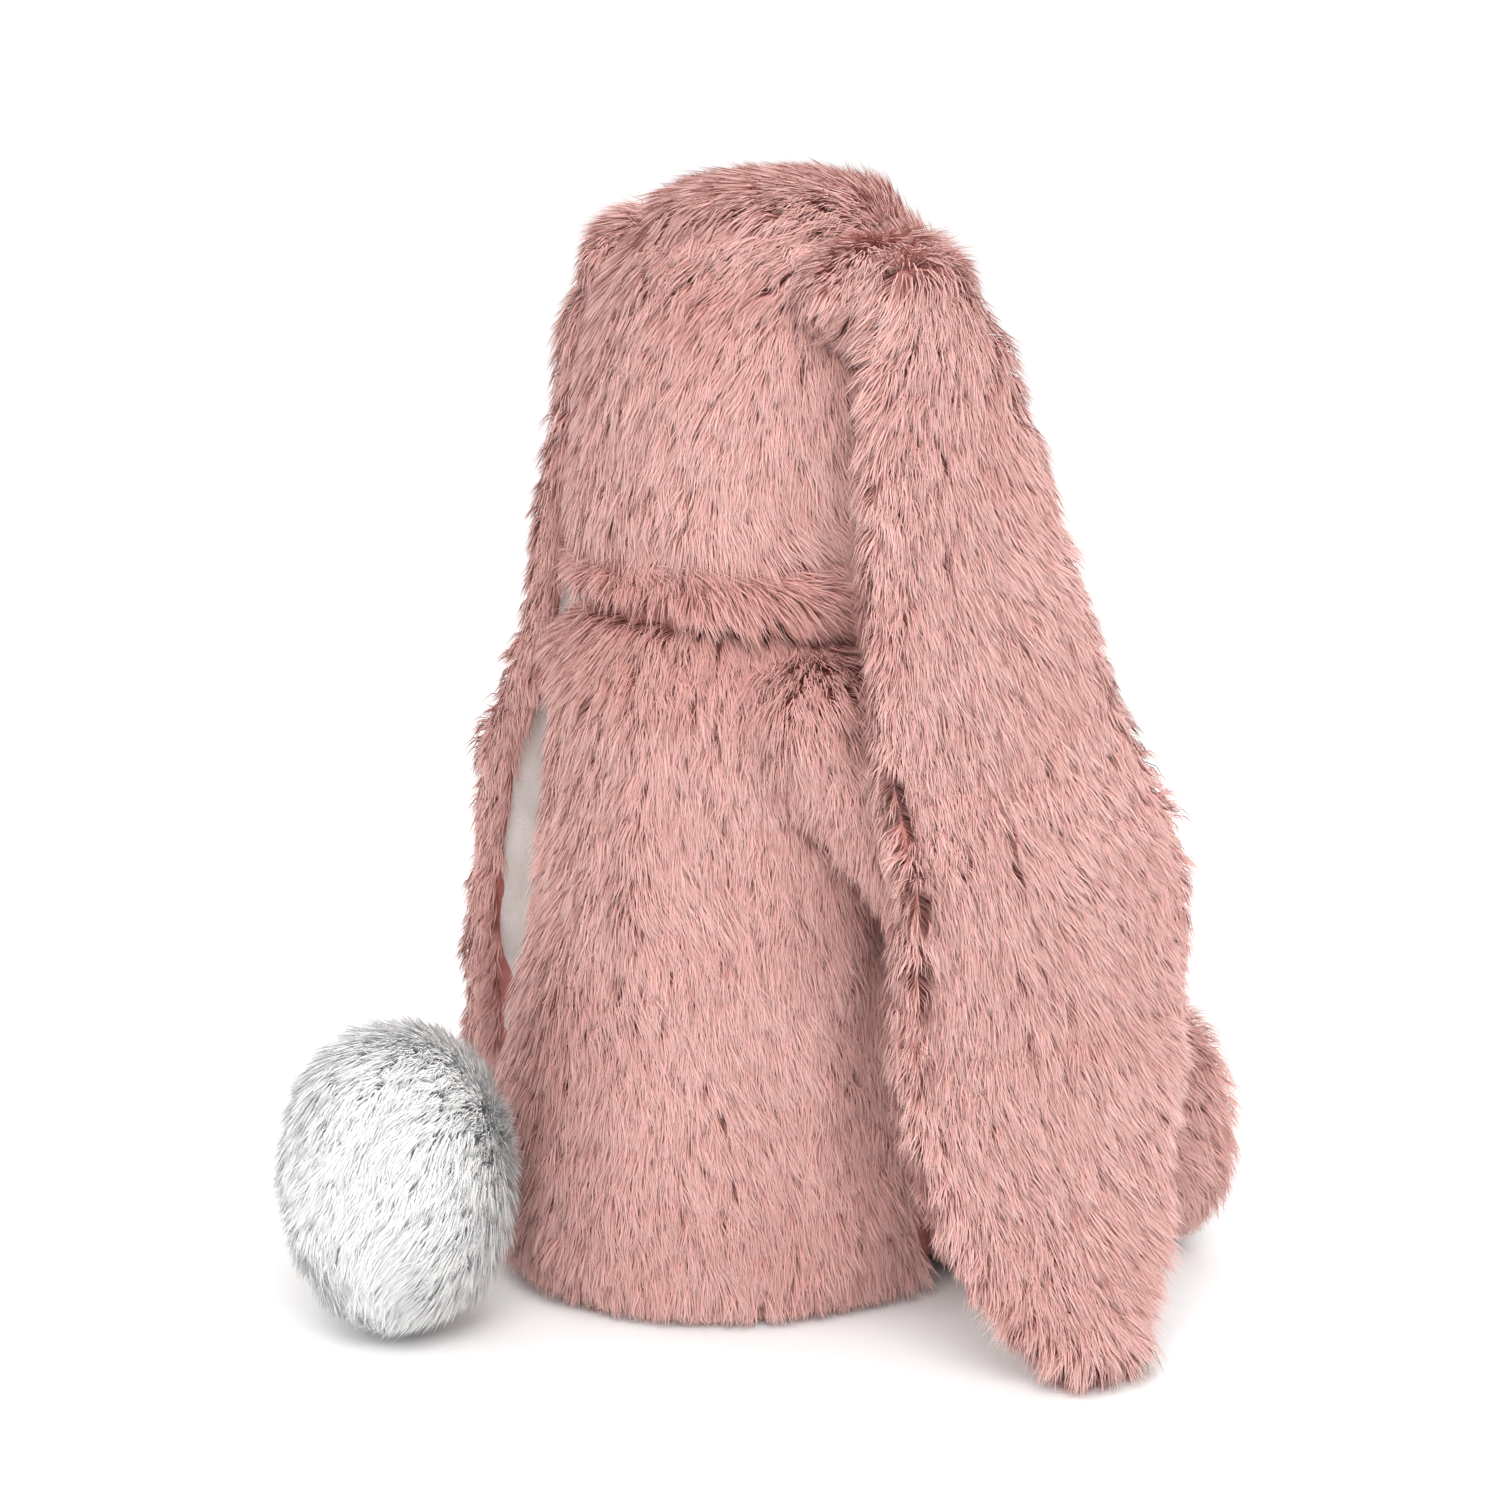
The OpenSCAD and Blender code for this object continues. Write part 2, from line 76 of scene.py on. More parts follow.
def noise3(p, scale, salt):
    """Smooth value noise from 0 to 1, with features about `scale` metres wide."""
    q = p / scale
    base = np.floor(q).astype(np.int64)
    f = q - base
    f = f * f * (3 - 2 * f)
    total = np.zeros(len(p))
    for corner in range(8):
        step = np.array([corner & 1, corner >> 1 & 1, corner >> 2 & 1])
        weight = np.prod(np.where(step, f, 1 - f), axis=1)
        total += weight * hash01(base + step, salt)
    return total


def nearest_tuft(p, cell, salt):
    """The nearest of a cloud of scattered points, one in each cell, and its own number."""
    base = np.floor(p / cell).astype(np.int64)
    best = np.full(len(p), np.inf)
    centre = np.zeros_like(p)
    number = np.zeros(len(p))
    for dx in (-1, 0, 1):
        for dy in (-1, 0, 1):
            for dz in (-1, 0, 1):
                at = base + np.array([dx, dy, dz])
                spot = at + np.stack([hash01(at, salt + k) for k in range(3)], 1)
                spot *= cell
                gap = np.sum((spot - p) ** 2, axis=1)
                near = gap < best
                best[near] = gap[near]
                centre[near] = spot[near]
                number[near] = hash01(at[near], salt + 3)
    return centre, number


# ---- meshes ----

def new_object(name, verts, faces, smooth=True):
    mesh = bpy.data.meshes.new(name)
    mesh.from_pydata([tuple(v) for v in verts], [], [tuple(f) for f in faces])
    mesh.update()
    if smooth:
        mesh.shade_smooth()
    obj = bpy.data.objects.new(name, mesh)
    bpy.context.scene.collection.objects.link(obj)
    return obj


def cad_mesh(*nodes):
    """The points and triangles of CAD nodes, as arrays in metres."""
    points, tris, start = [], [], 0
    for node in nodes:
        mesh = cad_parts[node].data
        mesh.calc_loop_triangles()
        v = np.empty(len(mesh.vertices) * 3)
        mesh.vertices.foreach_get("co", v)
        t = np.empty(len(mesh.loop_triangles) * 3, dtype=np.int32)
        mesh.loop_triangles.foreach_get("vertices", t)
        matrix = np.array(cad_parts[node].matrix_world)
        v = v.reshape(-1, 3) @ matrix[:3, :3].T + matrix[:3, 3]
        points.append(v)
        tris.append(t.reshape(-1, 3) + start)
        start += len(v)
    return np.concatenate(points), np.concatenate(tris)


def apply_modifiers(obj):
    graph = bpy.context.evaluated_depsgraph_get()
    mesh = bpy.data.meshes.new_from_object(obj.evaluated_get(graph))
    old = obj.data
    obj.modifiers.clear()
    obj.data = mesh
    bpy.data.meshes.remove(old)


def get_points(obj):
    v = np.empty(len(obj.data.vertices) * 3)
    obj.data.vertices.foreach_get("co", v)
    return v.reshape(-1, 3)


def set_points(obj, v):
    obj.data.vertices.foreach_set("co", np.ascontiguousarray(v).ravel())
    obj.data.update()


def get_normals(obj):
    n = np.empty(len(obj.data.vertices) * 3)
    obj.data.vertices.foreach_get("normal", n)
    return n.reshape(-1, 3)


def get_tris(obj):
    obj.data.calc_loop_triangles()
    t = np.empty(len(obj.data.loop_triangles) * 3, dtype=np.int32)
    obj.data.loop_triangles.foreach_get("vertices", t)
    return t.reshape(-1, 3)


def soften(obj, rounds):
    relax = obj.modifiers.new("relax", "SMOOTH")
    relax.iterations = rounds
    relax.factor = 0.5
    apply_modifiers(obj)


def skin_round(name, points, tris, voxel, inset, rounds=8):
    """One closed skin round some solids, smoothed and drawn in by `inset`, a depth or a function of place."""
    obj = new_object(name, points, tris)
    remesh = obj.modifiers.new("remesh", "REMESH")
    remesh.mode = "VOXEL"
    remesh.voxel_size = voxel
    apply_modifiers(obj)
    soften(obj, rounds)
    p = get_points(obj)
    depth = inset(p) if callable(inset) else np.full(len(p), inset)
    set_points(obj, p - get_normals(obj) * depth[:, None])
    soften(obj, 3)
    obj.data.shade_smooth()
    return obj


def ball(centre, radii, rings=12, steps=24):
    """The points and triangles of an ellipsoid."""
    points = [(0, 0, 1)]
    for j in range(1, rings):
        a = math.pi * j / rings
        for i in range(steps):
            b = 2 * math.pi * i / steps
            points.append((math.sin(a) * math.cos(b), math.sin(a) * math.sin(b), math.cos(a)))
    points.append((0, 0, -1))
    last = len(points) - 1
    tris = []
    for i in range(steps):
        k = (i + 1) % steps
        tris.append((0, 1 + i, 1 + k))
        tris.append((last, last - steps + k, last - steps + i))
        for j in range(rings - 2):
            a, b = 1 + j * steps, 1 + (j + 1) * steps
            tris += [(a + i, b + i, b + k), (a + i, b + k, a + k)]
    return np.array(points) * np.array(radii) + np.array(centre), np.array(tris)


def joined(*parts):
    points, tris, start = [], [], 0
    for p, t in parts:
        points.append(p)
        tris.append(np.asarray(t) + start)
        start += len(p)
    return np.concatenate(points), np.concatenate(tris)


def depth_into(p, *nodes):
    """How far each point is outside the nearest of some CAD solids; less than nothing inside."""
    best = np.full(len(p), np.inf)
    for node in nodes:
        points, tris = cad_mesh(node)
        tree = BVHTree.FromPolygons(points.tolist(), tris.tolist())
        for k, q in enumerate(p):
            at, normal, _, gap = tree.find_nearest(Vector(q))
            if (Vector(q) - at).dot(normal) < 0:
                gap = -gap
            best[k] = min(best[k], gap)
    return best


def press(obj, marks):
    """Pushes soft creases into a skin.

    A mark is a centre, a direction, a length, a width and a depth in mm.
    """
    p = get_points(obj)
    push = np.zeros(len(p))
    for centre, along, length, width, depth in marks:
        way = np.array(along) / np.linalg.norm(along)
        gap = p / MM - np.array(centre)
        run = gap @ way
        off = np.linalg.norm(gap - run[:, None] * way, axis=1)
        push += depth * MM * np.exp(-(run / length) ** 2 - (off / width) ** 2)
    set_points(obj, p - get_normals(obj) * push[:, None])
    obj.data.shade_smooth()


def crumple(obj, amount, scale, salt):
    """Slow, shallow hills and hollows, as filling leaves under cloth."""
    p = get_points(obj)
    hill = noise3(p, scale, salt) + 0.5 * noise3(p, scale / 2, salt + 1) - 0.75
    set_points(obj, p + get_normals(obj) * (hill * amount)[:, None])


CLOTH_QUALITY = 6
CLOTH_MASS = 0.2
CLOTH_STRETCH = 15
CLOTH_SHEAR = 5
CLOTH_BEND = 0.5
CLOTH_GRAVITY = 0.35


def settle(obj, held, pressure, surplus, frames=14, most=5 * MM):
    """Lets a skin, cut a little too large, hang as cloth over the filling that pushes from inside."""
    before = get_points(obj)
    group = obj.vertex_groups.new(name="held")
    group.add([int(k) for k in np.flatnonzero(held(before))], 1.0, "REPLACE")
    cloth = obj.modifiers.new("cloth", "CLOTH")
    cloth.settings.quality = CLOTH_QUALITY
    cloth.settings.mass = CLOTH_MASS
    cloth.settings.tension_stiffness = CLOTH_STRETCH
    cloth.settings.compression_stiffness = CLOTH_STRETCH
    cloth.settings.shear_stiffness = CLOTH_SHEAR
    cloth.settings.bending_stiffness = CLOTH_BEND
    cloth.settings.use_pressure = True
    cloth.settings.uniform_pressure_force = pressure
    cloth.settings.shrink_min = -surplus
    cloth.settings.vertex_group_mass = "held"
    cloth.settings.effector_weights.gravity = CLOTH_GRAVITY
    cloth.point_cache.frame_start = 1
    cloth.point_cache.frame_end = frames
    for number in range(1, frames + 1):
        bpy.context.scene.frame_set(number)
    apply_modifiers(obj)
    bpy.context.scene.frame_set(1)
    move = get_points(obj) - before
    size = np.linalg.norm(move, axis=1, keepdims=True)
    move *= np.minimum(1, most / np.maximum(size, 1e-9))
    set_points(obj, before + move)
    obj.vertex_groups.clear()
    soften(obj, 1)
    obj.data.shade_smooth()


def dress(obj, body, slot, mat, fill, *nodes):
    """Gives a padded piece its cloth and its body, and hides the CAD nodes it stands for."""
    obj.data.materials.append(mat)
    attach(obj, body)
    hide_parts(*nodes)


# ---- materials ----

def srgb(r, g, b):
    """A colour given from 0 to 255, as Blender's linear values."""
    c = np.array([r, g, b]) / 255.0
    return tuple(np.where(c <= 0.04045, c / 12.92, ((c + 0.055) / 1.055) ** 2.4)) + (1.0,)


def material(name, roughness, sheen=0.0, sheen_roughness=0.5, specular=0.5):
    mat = bpy.data.materials.new(name)
    mat.use_nodes = True
    shader = mat.node_tree.nodes["Principled BSDF"]
    shader.inputs["Roughness"].default_value = roughness
    shader.inputs["Sheen Weight"].default_value = sheen
    shader.inputs["Sheen Roughness"].default_value = sheen_roughness
    shader.inputs["Specular IOR Level"].default_value = specular
    return mat, mat.node_tree, shader


def ramp(tree, source, stops):
    node = tree.nodes.new("ShaderNodeValToRGB")
    node.color_ramp.interpolation = "EASE"
    while len(node.color_ramp.elements) < len(stops):
        node.color_ramp.elements.new(0.5)
    for element, (place, colour) in zip(node.color_ramp.elements, stops):
        element.position = place
        element.color = colour
    tree.links.new(source, node.inputs["Fac"])
    return node


def fur_material(name, dark, light):
    """Hairs coloured from root to tip, darker at the root: partly the hair's own colour and partly painted
    shade deep in the pile. U of the map is a hair's shade, V runs along it.
    """
    mat, tree, shader = material(name, 0.75, sheen=0.12, specular=0.2)
    uv = tree.nodes.new("ShaderNodeUVMap")
    uv.uv_map = "OFBake"
    split = tree.nodes.new("ShaderNodeSeparateXYZ")
    tree.links.new(uv.outputs["UV"], split.inputs["Vector"])
    dark_ramp = ramp(tree, split.outputs["Y"], dark)
    light_ramp = ramp(tree, split.outputs["Y"], light)
    mix = tree.nodes.new("ShaderNodeMix")
    mix.data_type = "RGBA"
    tree.links.new(split.outputs["X"], mix.inputs["Factor"])
    tree.links.new(dark_ramp.outputs["Color"], mix.inputs["A"])
    tree.links.new(light_ramp.outputs["Color"], mix.inputs["B"])
    tree.links.new(mix.outputs["Result"], shader.inputs["Base Color"])
    return mat


def cloth_material(name, colour_a, colour_b, scale, bump, roughness=0.9, sheen=0.3):
    """Fabric with soft patches of colour and a fine matted bump."""
    mat, tree, shader = material(name, roughness, sheen=sheen, specular=0.15)
    where = tree.nodes.new("ShaderNodeTexCoord")
    patches = tree.nodes.new("ShaderNodeTexNoise")
    patches.inputs["Scale"].default_value = scale
    patches.inputs["Detail"].default_value = 6.0
    tree.links.new(where.outputs["Object"], patches.inputs["Vector"])
    colours = ramp(tree, patches.outputs["Fac"], [(0.35, colour_a), (0.65, colour_b)])
    tree.links.new(colours.outputs["Color"], shader.inputs["Base Color"])
    grain = tree.nodes.new("ShaderNodeTexNoise")
    grain.inputs["Scale"].default_value = scale * 12
    tree.links.new(where.outputs["Object"], grain.inputs["Vector"])
    relief = tree.nodes.new("ShaderNodeBump")
    relief.inputs["Strength"].default_value = bump
    relief.inputs["Distance"].default_value = 0.0006
    tree.links.new(grain.outputs["Fac"], relief.inputs["Height"])
    tree.links.new(relief.outputs["Normal"], shader.inputs["Normal"])
    return mat


# Both hair colours darken towards the root (V = 0), which is partly painted shade deep in the pile.
PINK_HAIR = fur_material(
    "pink_hair",
    [(0.0, srgb(184, 116, 108)), (0.35, srgb(203, 137, 128)),
     (0.75, srgb(220, 164, 155)), (1.0, srgb(234, 187, 179))],
    [(0.0, srgb(200, 136, 128)), (0.35, srgb(221, 165, 157)),
     (0.75, srgb(238, 195, 188)), (1.0, srgb(250, 222, 216))],
)
WHITE_HAIR = fur_material(
    "white_hair",
    [(0.0, srgb(240, 240, 240)), (0.5, srgb(246, 246, 246)), (1.0, srgb(250, 250, 249))],
    [(0.0, srgb(246, 246, 246)), (0.5, srgb(251, 251, 250)), (1.0, srgb(254, 254, 253))],
)
# The pink backing is darker than the hair, so where it shows between tufts it is partly painted shade.
PINK_CLOTH = cloth_material("pink_backing", srgb(190, 122, 114), srgb(204, 138, 130), 60.0, 0.5)
WHITE_CLOTH = cloth_material("white_backing", srgb(240, 240, 240), srgb(246, 246, 245), 60.0, 0.5)
VELOUR = cloth_material("off_white_velour", srgb(232, 230, 226), srgb(243, 241, 238), 90.0, 0.35, sheen=0.5)
THREAD = cloth_material(
    "satin_thread", srgb(168, 84, 92), srgb(184, 98, 106), 300.0, 0.3, roughness=0.4, sheen=0.2)
BEAD, _, _ = material("black_bead", 0.06, specular=0.6)
BEAD.node_tree.nodes["Principled BSDF"].inputs["Base Color"].default_value = (0.008, 0.006, 0.006, 1)
WASHER, _, _ = material("white_washer", 0.5)
WASHER.node_tree.nodes["Principled BSDF"].inputs["Base Color"].default_value = (0.8, 0.8, 0.8, 1)


# ---- fur ----

STRAND_RINGS = np.array([0.0, 0.55, 1.0])
STRAND_WIDTH = np.array([0.85, 1.0, 0.0])
MOST_STRANDS = 65000


def scatter(points, tris, normals, per_mm2, keep, rng):
    """Random roots on a surface: their places and the surface's normals there."""
    a, b, c = (points[tris[:, k]] for k in range(3))
    areas = np.linalg.norm(np.cross(b - a, c - a), axis=1) / 2
    middle = (a + b + c) / 3
    facing = unit(np.cross(b - a, c - a))
    areas = areas * keep(middle, facing)
    count = int(areas.sum() * 1e6 * per_mm2)
    pick = rng.choice(len(tris), size=count, p=areas / areas.sum())
    u, v = rng.random(count), rng.random(count)
    flip = u + v > 1
    u[flip], v[flip] = 1 - u[flip], 1 - v[flip]
    w = 1 - u - v
    mix = np.stack([w, u, v], 1)[:, :, None]
    root = np.sum(points[tris[pick]] * mix, axis=1)
    normal = unit(np.sum(normals[tris[pick]] * mix, axis=1))
    return root, normal


def hair_paths(root, normal, comb, length, lift, tuft, pull, salt, rng, droop, clump, lay):
    """Points along every hair: it rises from the skin, lies over and leans to its tuft."""
    count = len(root)
    tangent = comb - normal * np.sum(comb * normal, axis=1, keepdims=True)
    tangent = unit(tangent)
    across = np.cross(normal, tangent)
    centre, number = nearest_tuft(root, tuft, salt)
    turn = (number - 0.5) * 0.7 + rng.normal(0, 0.14, count)
    turn = turn + (noise3(root, 0.03, salt + 9) - 0.5) * 1.0
    tangent = tangent * np.cos(turn)[:, None] + across * np.sin(turn)[:, None]
    across = np.cross(normal, tangent)
    size = length * (0.82 + 0.3 * np.modf(number * 17.3)[0]) * rng.uniform(0.85, 1.12, count)
    rise = lift * rng.uniform(0.8, 1.2, count)
    to_tuft = centre - root
    to_tuft -= normal * np.sum(to_tuft * normal, axis=1, keepdims=True)
    paths = np.empty((count, len(STRAND_RINGS), 3))
    for k, s in enumerate(STRAND_RINGS):
        up = size * (math.sin(math.pi / 2 * s) * 0.62) * rise
        along = size * lay * (0.42 * s + 0.5 * s * s)
        point = root + normal * up[:, None] + tangent * along[:, None]
        point += to_tuft * (pull * s ** 1.3)
        point[:, 2] -= size * droop * s * s * 0.3
        point[:, 2] = np.maximum(point[:, 2], 0.4 * MM)
        paths[:, k] = point
    round_normal = unit(normal + to_tuft * (-clump / tuft))
    return paths, across, round_normal, number


def hair_object(name, paths, across, normal, shade, width, mat, rng):
    """Every hair as a narrow, twisted, tapering ribbon. Returns the objects it takes."""
    made = []
    parts = max(1, math.ceil(len(paths) / MOST_STRANDS))
    rings = len(STRAND_RINGS)
    per = 2 * (rings - 1) + 1
    for part in range(parts):
        take = slice(part * len(paths) // parts, (part + 1) * len(paths) // parts)
        p, side, n, tone = paths[take], across[take], normal[take], shade[take]
        count = len(p)
        along = unit(p[:, -1] - p[:, 0])
        out = unit(np.cross(along, side))
        twist = rng.uniform(-1.15, 1.15, count)[:, None]
        side = side * np.cos(twist) + out * np.sin(twist)
        half = (width * rng.uniform(0.75, 1.25, count) / 2)[:, None]
        verts = np.empty((count, per, 3))
        for k in range(rings - 1):
            verts[:, 2 * k] = p[:, k] - side * half * STRAND_WIDTH[k]
            verts[:, 2 * k + 1] = p[:, k] + side * half * STRAND_WIDTH[k]
        verts[:, per - 1] = p[:, rings - 1]
        pattern = []
        for k in range(rings - 2):
            pattern += [(2 * k, 2 * k + 3, 2 * k + 1), (2 * k, 2 * k + 2, 2 * k + 3)]
        pattern.append((per - 3, per - 1, per - 2))
        pattern = np.array(pattern)
        tris = (pattern[None] + (np.arange(count) * per)[:, None, None]).reshape(-1, 3)
        title = name if parts == 1 else f"{name}_{part + 1}"
        mesh = bpy.data.meshes.new(title)
        mesh.vertices.add(count * per)
        mesh.vertices.foreach_set("co", verts.ravel())
        mesh.loops.add(len(tris) * 3)
        mesh.loops.foreach_set("vertex_index", tris.ravel().astype(np.int32))
        mesh.polygons.add(len(tris))
        mesh.polygons.foreach_set("loop_start", np.arange(0, len(tris) * 3, 3, dtype=np.int32))
        mesh.polygons.foreach_set("use_smooth", np.ones(len(tris), dtype=bool))
        mesh.update(calc_edges=True)
        v_of = np.concatenate([np.repeat(STRAND_RINGS[:-1], 2), [1.0]])
        u_of = np.concatenate([np.tile([0.0, 1.0], rings - 1), [0.5]]) * 0.008
        uv = np.empty((count, per, 2))
        uv[:, :, 0] = np.clip(tone, 0.004, 0.988)[:, None] + u_of[None]
        uv[:, :, 1] = np.clip(v_of, 0.01, 0.99)[None]
        layer = mesh.uv_layers.new(name="OFBake")
        layer.data.foreach_set("uv", uv.reshape(-1, 2)[tris.ravel()].ravel())
        vertex_normals = np.repeat(n[:, None], per, axis=1).reshape(-1, 3)
        mesh.normals_split_custom_set_from_vertices(vertex_normals)
        mesh.materials.append(mat)
        obj = bpy.data.objects.new(title, mesh)
        bpy.context.scene.collection.objects.link(obj)
        made.append(obj)
    return made


def fur(name, skin, body, comb, salt, per_mm2=3.6, length=10.5 * MM, lift=1.0, width=0.31 * MM,
        tuft=2.9 * MM, pull=0.42, mat=PINK_HAIR, keep=None, droop=0.2, tone=0.5, clump=0.3,
        lay=1.0, painted_shade_at=None):
    """Grows fur on a skin and makes it ride on the skin's body."""
    rng = np.random.default_rng(salt)
    points, tris, normals = get_points(skin), get_tris(skin), get_normals(skin)
    keep = keep or (lambda p, n: np.ones(len(p)))
    root, normal = scatter(points, tris, normals, per_mm2, keep, rng)
    size = length(root) if callable(length) else np.full(len(root), length)
    direction = comb(root, normal)
    paths, across, soft, number = hair_paths(
        root, normal, direction, size, lift, tuft, pull, salt, rng, droop, clump, lay)
    patch = noise3(root, 0.03, salt + 5) * 0.5 + noise3(root, 0.011, salt + 6) * 0.5
    shade = tone + (patch - 0.5) * 0.6 + (number - 0.5) * 0.3 + rng.normal(0, 0.12, len(root))
    # The optional extra tone is painted shade: it darkens hairs in creases and hollows.
    if painted_shade_at:
        shade = shade + painted_shade_at(root)
    made = hair_object(name, paths, across, soft, shade, width, mat, rng)
    for obj in made:
        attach(obj, body)
    return made


# ---- torso ----

TORSO_NODES = [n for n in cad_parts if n.startswith("torso") or n == "seat_pellet_bag"]
HEAD_NODES = ["head_crown", "head_side_left", "head_side_right", "muzzle", "head_stuffing"]
FUR_DEPTH = 8 * MM
LIMBS = [f"{limb}_{layer}_{side}" for limb in ("arm", "leg") for layer in ("fur", "stuffing")
         for side in ("left", "right")]


def torso_outline():
    """Heights up the torso and its half depth there, measured down the middle of the CAD's back."""
    points, tris = cad_mesh("torso_back_left", "torso_back_right", "torso_base", "torso_stuffing")
    tree = BVHTree.FromPolygons(points.tolist(), tris.tolist())
    low, high = points[:, 2].min(), points[:, 2].max()
    heights = np.linspace(low + 0.5 * MM, high - 1 * MM, 70)
    depth = []
    for z in heights:
        hit = tree.ray_cast(Vector((0.1 * MM, 0.4, z)), Vector((0, -1, 0)))
        depth.append(hit[0].y if hit[0] else depth[-1])
    return heights, np.array(depth)


def torso_solid(heights, depth):
    """The whole torso without the hollows for the limbs."""
    steps = 96
    oval = box("torso_back_left")[1][0] / box("torso_back_left")[1][1]
    turn = 2 * np.pi * np.arange(steps) / steps
    rings = [np.stack([oval * r * np.cos(turn), r * np.sin(turn), np.full(steps, z)], 1)
             for z, r in zip(heights, depth)]
    points = np.concatenate(rings + [np.array([[0, 0, heights[0]], [0, 0, heights[-1]]])])
    tris, count = [], len(heights)
    for i in range(steps):
        k = (i + 1) % steps
        tris.append((steps * count, k, i))
        tris.append((steps * count + 1, steps * (count - 1) + i, steps * (count - 1) + k))
        for j in range(count - 1):
            a, b = j * steps, (j + 1) * steps
            tris += [(a + i, a + k, b + k), (a + i, b + k, b + i)]
    return points, np.array(tris)


def down_comb(p, n):
    """Fur brushed down, and slightly outwards from the middle of the back."""
    d = np.zeros_like(p)
    d[:, 2] = -1.0
    d[:, 0] = np.sign(p[:, 0]) * 0.12
    under = smooth_step(-n[:, 2], 0.5, 0.9)[:, None]
    return d * (1 - under) - p * np.array([1, 1, 0]) / 0.05 * under


def head_comb(p, n):
    """Fur that runs from the nose over the crown and down the back, and straight down at the sides."""
    low, high = box("muzzle")
    away = unit(p - np.array([0.0, low[1], (low[2] + high[2]) / 2]))
    side_low, side_high = box("head_side_left")
    y = p[:, 1] - (side_low[1] + side_high[1]) / 2
    z = p[:, 2] - (side_low[2] + side_high[2]) / 2
    over = np.stack([np.zeros(len(p)), z, -y], 1)
    weight = smooth_step(np.hypot(y, z), 0.012, 0.045) * (1 - 0.6 * smooth_step(np.abs(p[:, 0]), 0.04, 0.058))
    over = unit(over) * weight[:, None] + np.array([0.0, 0.2, -1.0]) * (1 - weight)[:, None]
    front = 1 - smooth_step(p[:, 1], -0.075, -0.04)[:, None]
    return away * front + over * (1 - front)


outline_z, outline_r = torso_outline()


def torso_inset(p):
    """The neck is drawn in less, so that no gap opens under the head."""
    neck = 1 - 0.35 * smooth_step(p[:, 2], 0.15, 0.18)
    seat = 0.35 + 0.65 * smooth_step(p[:, 2], 0.0, 0.02)
    return FUR_DEPTH * neck * seat


SHOULDERS = [ball((sign * 0.0475, 0.009, 0.166), (0.0245, 0.025, 0.024)) for side, sign in SIDES]
torso = skin_round("torso_skin", *joined(torso_solid(outline_z, outline_r), *SHOULDERS), 4 * MM, torso_inset)
TORSO_MARKS = [
    ((-35, 45, 178), (1, 0.6, 0.1), 16, 5, 4.0),
    ((-30, 47, 164), (1, 0.5, -0.25), 15, 5, 3.5),
    ((35, 45, 170), (1, -0.6, 0.1), 15, 5, 3.0),
    ((10, 62, 134), (1, 0, 0.2), 16, 5, 2.0),
    ((-48, 30, 172), (0.1, 0.1, 1), 18, 6, 4.5),
    ((48, 30, 172), (-0.1, 0.1, 1), 18, 6, 4.5),
    ((0, -58, 128), (1, 0, 0), 26, 8, 2.5),
]
settle(torso, lambda p: (p[:, 2] < 0.006) | (p[:, 2] > 0.172), 3.0, 0.05)
press(torso, TORSO_MARKS)
crumple(torso, 2.2 * MM, 0.035, 71)
dress(torso, "torso", "body_fur", PINK_CLOTH, 0.7, *TORSO_NODES)


def torso_keep(p, n):
    legs = [node for node in LIMBS if node.startswith("leg")]
    arms = [node for node in LIMBS if node.startswith("arm")]
    clear = depth_into(p, *legs) > 1.5 * MM
    clear &= (depth_into(p, *arms) > 1.5 * MM) | (p[:, 2] > 0.15)
    return clear * (p[:, 2] < 0.192) * np.where((n[:, 2] < -0.9) & (p[:, 2] < 0.012), 0.35, 1.0)


# Painted shade: the hairs are darkened in the pressed creases and towards the top of the torso, under the
# head.
def torso_painted_shade(p):
    dark = np.zeros(len(p))
    for centre, along, length, width, depth in TORSO_MARKS:
        way = np.array(along) / np.linalg.norm(along)
        gap = p / MM - np.array(centre)
        run = gap @ way
        off = np.linalg.norm(gap - run[:, None] * way, axis=1)
        dark += depth / 4 * np.exp(-(run / length) ** 2 - (off / width) ** 2)
    return -0.6 * dark - 0.35 * smooth_step(p[:, 2], 0.165, 0.19)


fur("torso_fur", torso, "torso", down_comb, 11, keep=torso_keep, painted_shade_at=torso_painted_shade)

# ---- head ----

EYE_AT = {side: sum(box(f"eye_{side}")) / 2 for side, sign in SIDES}
NOSE_LOW, NOSE_HIGH = box("nose")
NOSE_AT = (NOSE_LOW + NOSE_HIGH) / 2
MOUTH_LOW, MOUTH_HIGH = box("mouth_stitches")



def head_inset(p):
    """The head is drawn in less below, so that it rests on the neck."""
    return 9 * MM - 5.5 * MM * (1 - smooth_step(p[:, 2], 0.197, 0.212))


head = skin_round("head_skin", *cad_mesh(*HEAD_NODES), 4 * MM, head_inset)
HEAD_MARKS = [
    ((-34, 44, 208), (1, 0.5, 0.05), 30, 5, 5.0),
    ((34, 44, 208), (1, -0.5, 0.05), 30, 5, 5.0),
    ((-52, 10, 226), (0.2, 0.6, 1), 20, 8, 3.0),
    ((-14, 20, 312), (1, 0.4, 0), 12, 9, 2.0),
]
settle(head, lambda p: (p[:, 2] < 0.205) | (p[:, 1] < -0.055) | (p[:, 2] > 0.302), 4.0, 0.03)
press(head, HEAD_MARKS)
crumple(head, 2.0 * MM, 0.04, 72)
dress(head, "head", "body_fur", PINK_CLOTH, 0.8, *HEAD_NODES)


def face_length(p):
    """The fur is clipped short round the eyes, on the muzzle and round the nose."""
    trim = np.ones(len(p))
    for at in EYE_AT.values():
        gap = np.linalg.norm(p - at, axis=1)
        trim = np.minimum(trim, 0.34 + 0.66 * smooth_step(gap, 0.010, 0.026))
    gap = np.linalg.norm(p - NOSE_AT, axis=1)
    muzzle = 0.28 + 0.5 * smooth_step(gap, 0.012, 0.034) + 0.22 * smooth_step(gap, 0.034, 0.06)
    trim = np.minimum(trim, muzzle)
    return 11 * MM * trim


